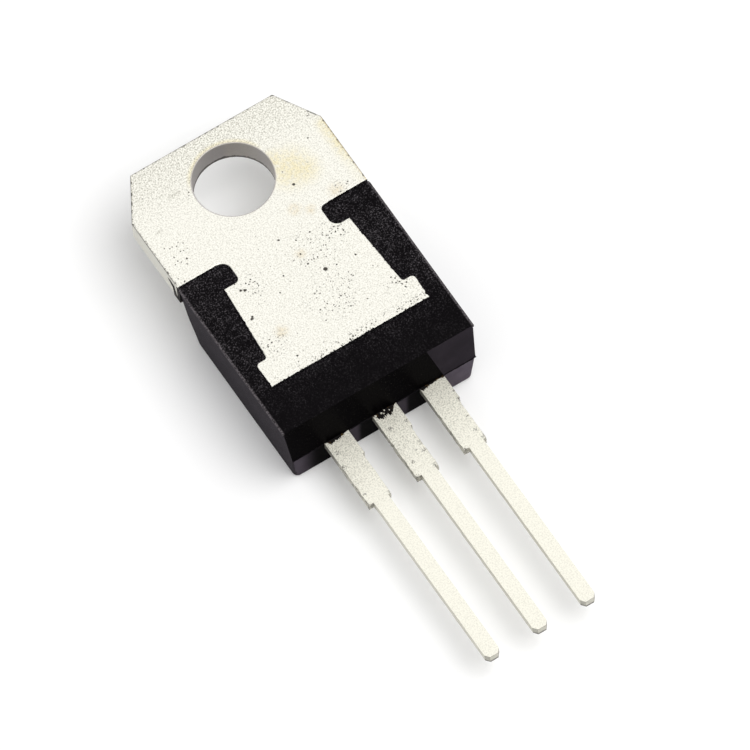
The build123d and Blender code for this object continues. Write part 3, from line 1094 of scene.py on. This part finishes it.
def make_root_flash():
    """Skins of compound over the roots of the leads, with flakes of bare tin among them."""
    dice = random.Random(flash_seed)
    low = lead_back_z - flash_sink
    high = lead_back_z + flash_thickness
    bm = bmesh.new()
    for node_name, profile in root_flash_profiles.items():
        x = lead_places[node_name]
        start = (x + root_width / 2, body_end_y)
        end = (x - root_width / 2, body_end_y)
        from_right = [(1 - share, value) for share, value in reversed(profile)]
        reach = uneven_reach(from_right, dice, root_flash_change_share)
        ragged_slab(bm, start, end, reach, root_flash_inset, low, high, root_flash_spacing)
    add_object("root_flash", bm, resin_flash)
    bm = bmesh.new()
    for x, distance, radius in bare_flakes:
        add_flake(bm, x, body_end_y - distance, radius, low, lead_back_z + 2 * flash_thickness, dice)
    add_object("bare_flakes", bm, lead_tin)


def edge_reach(dice, usual, rare, rare_share):
    """A small random reach that is now and then larger."""
    def reach(share):
        if share in (0.0, 1.0):
            return 0.0
        part = dice.uniform(*rim_reach_shares)
        return part * (rare if dice.random() < rare_share else usual)

    return reach


def make_window_flash():
    """Ragged rim of compound over the edge of the bare metal."""
    dice = random.Random(flash_seed + 1)
    bm = bmesh.new()
    heights = (body_back_z - flash_sink, window_flash_high)
    bottom = [(-foot_half_width, paddle_end_y), (foot_half_width, paddle_end_y)]
    ragged_slab(bm, *bottom, edge_reach(dice, *bottom_rim), bottom_rim_inset, *heights, rim_spacing)
    for side in (-1, 1):
        rim = left_rim if side < 0 else right_rim
        arm = [
            (side * arm_half_width_at_neck, neck_end_y),
            (side * arm_half_width_at_foot, foot_y + arm_rim_gap),
        ]
        foot = [(side * foot_half_width, foot_y - foot_rim_gap), (side * foot_half_width, paddle_end_y)]
        for line in (arm, foot):
            ordered = line if side < 0 else line[::-1]
            ragged_slab(bm, *ordered, edge_reach(dice, *rim), side_rim_inset, *heights, side_rim_spacing)
        shoulder = [
            (side * (neck_half_width + shoulder_rim_gap), shoulder_y),
            (side * tab_half_width, shoulder_y),
        ]
        ordered = shoulder if side > 0 else shoulder[::-1]
        ragged_slab(bm, *ordered, edge_reach(dice, *shoulder_rim), side_rim_inset, *heights, rim_spacing)
    add_object("window_flash", bm, mould_compound)


def add_rib(bm, points, dice):
    """Adds a sharp uneven rib along points, each with its outward direction."""
    rows = []
    for x, y, out_x, out_y in points:
        stand = rib_reach * dice.uniform(*rib_reach_shares)
        inner = (x - out_x * rib_inset, y - out_y * rib_inset)
        rows.append([
            (*inner, lead_back_z + rib_half_height),
            (x + out_x * stand, y + out_y * stand, lead_back_z),
            (*inner, lead_back_z - rib_half_height),
        ])
    add_tube(bm, rows)


def make_parting_flash():
    """Fine rib where the two halves of the mould met, across the lead end between the leads."""
    dice = random.Random(flash_seed + 2)
    bm = bmesh.new()
    corner_x = side_wall_half_width - (abs(lead_back_z) - lip_depth) * math.tan(side_draft)
    stops = [-corner_x]
    for x in sorted(lead_places.values()):
        stops += [x - root_width / 2 - rib_gap_at_lead, x + root_width / 2 + rib_gap_at_lead]
    stops.append(corner_x)
    for start, end in zip(stops[::2], stops[1::2]):
        count = max(2, int((end - start) / rib_spacing))
        points = [(start + (end - start) * step / count, body_end_y, 0.0, -1.0) for step in range(count + 1)]
        if end == corner_x:
            points[-1:] = [(end, body_end_y + distance, *outwards) for distance, *outwards in rib_corner]
        add_rib(bm, points, dice)
    add_object("parting_flash", bm, mould_compound)


# Skins of compound on the tab's left side wall: outline by y and z, and depth
side_skins = [
    ([
        (-2.50, -0.36), (-2.66, -0.30), (-3.06, -0.38), (-3.12, -0.68), (-3.20, -0.98), (-3.27, -1.09),
        (-3.40, -1.12), (-3.40, -1.29), (-3.00, -1.29), (-2.95, -1.25), (-2.93, -0.97), (-2.88, -0.66),
    ], 0.02),
    ([
        (-3.29, -0.05), (-3.40, -0.05), (-3.40, -1.06), (-3.285, -1.03), (-3.265, -0.75), (-3.285, -0.30),
    ], 0.02),
    ([(-3.40, -0.19), (-3.55, -0.30), (-3.47, -1.29), (-3.40, -1.29)], 0.12),
]
skin_thickness = 0.012


def make_side_skin():
    """Thin skin of compound on the side wall of the tab, beside the moulding."""
    bm = bmesh.new()
    for outline, depth in side_skins:
        add_prism(bm, outline, -skin_thickness - tab_half_width, depth - tab_half_width)
    upright = Matrix(((0.0, 0.0, 1.0), (1.0, 0.0, 0.0), (0.0, 1.0, 0.0))).to_4x4()
    bmesh.ops.transform(bm, matrix=upright, verts=bm.verts)
    add_object("side_skin", bm, resin_flash)


make_heatsink()
make_lead("gate_lead")
make_lead("main_terminal_lead")
make_body()
make_root_flash()
make_window_flash()
make_parting_flash()
make_side_skin()

inner_finish = {
    "triac_die": silicon,
    "die_solder": solder,
    "clip_solder": solder,
    "main_terminal_clip": copper,
    "gate_clip": copper,
}
for node_name, material in inner_finish.items():
    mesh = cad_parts[node_name].data
    mesh.materials.clear()
    mesh.materials.append(material)

# Floor, light and camera


def direction(heading, elevation):
    """Unit vector from a heading, clockwise from +Y, and an elevation, in degrees."""
    turn = math.radians(heading)
    rise_angle = math.radians(elevation)
    level = math.cos(rise_angle)
    return Vector((math.sin(turn) * level, math.cos(turn) * level, math.sin(rise_angle)))


def make_stage():
    """White floor under the part."""
    bm = bmesh.new()
    bmesh.ops.create_grid(bm, x_segments=floor_segments, y_segments=floor_segments, size=floor_size / 2 * MM)
    bmesh.ops.translate(bm, vec=scaled((0.0, 0.0, floor_z)), verts=bm.verts)
    mesh = bpy.data.meshes.new("floor")
    bm.to_mesh(mesh)
    bm.free()
    mesh.materials.append(make_floor())
    place_object("floor", mesh)


def make_light():
    """One broad soft lamp and a pale sky."""
    lamp = bpy.data.lights.new("key", "SUN")
    lamp.energy = key_strength
    lamp.angle = math.radians(key_spread)
    key = place_object("key", lamp)
    key.rotation_mode = "QUATERNION"
    key.rotation_quaternion = direction(key_heading, key_elevation).to_track_quat("Z", "Y")
    world = bpy.data.worlds.new("sky")
    world.use_nodes = True
    tree = world.node_tree
    tree.nodes.clear()
    upwards = along(tree, node(tree, "TexCoord").outputs["Generated"], 2)
    level = ramp(tree, upwards, sky_height_shares, (sky_at_horizon, sky_overhead))
    strength = most(tree, [level, shown_directly(tree)])
    sky = node(tree, "Background", {"Color": white, "Strength": strength})
    node(tree, "OutputWorld", {"Surface": sky.outputs[0]})
    bpy.context.scene.world = world


def make_camera():
    """Camera at the viewing angle of the photograph."""
    roll = math.radians(camera_roll)
    forward = direction(camera_heading, -camera_elevation)
    level_right = forward.cross(Vector((0.0, 0.0, 1.0))).normalized()
    level_up = level_right.cross(forward)
    right = level_right * math.cos(roll) - level_up * math.sin(roll)
    up = level_up * math.cos(roll) + level_right * math.sin(roll)
    turn = Matrix((right, up, -forward)).transposed().to_4x4()
    data = bpy.data.cameras.new("camera")
    data.lens = camera_lens
    data.sensor_width = camera_sensor
    camera = place_object("camera", data)
    camera.matrix_world = Matrix.Translation(scaled(camera_aim) - forward * camera_distance * MM) @ turn
    bpy.context.scene.camera = camera


make_stage()
make_light()
make_camera()
bpy.context.scene.view_settings.view_transform = "Standard"
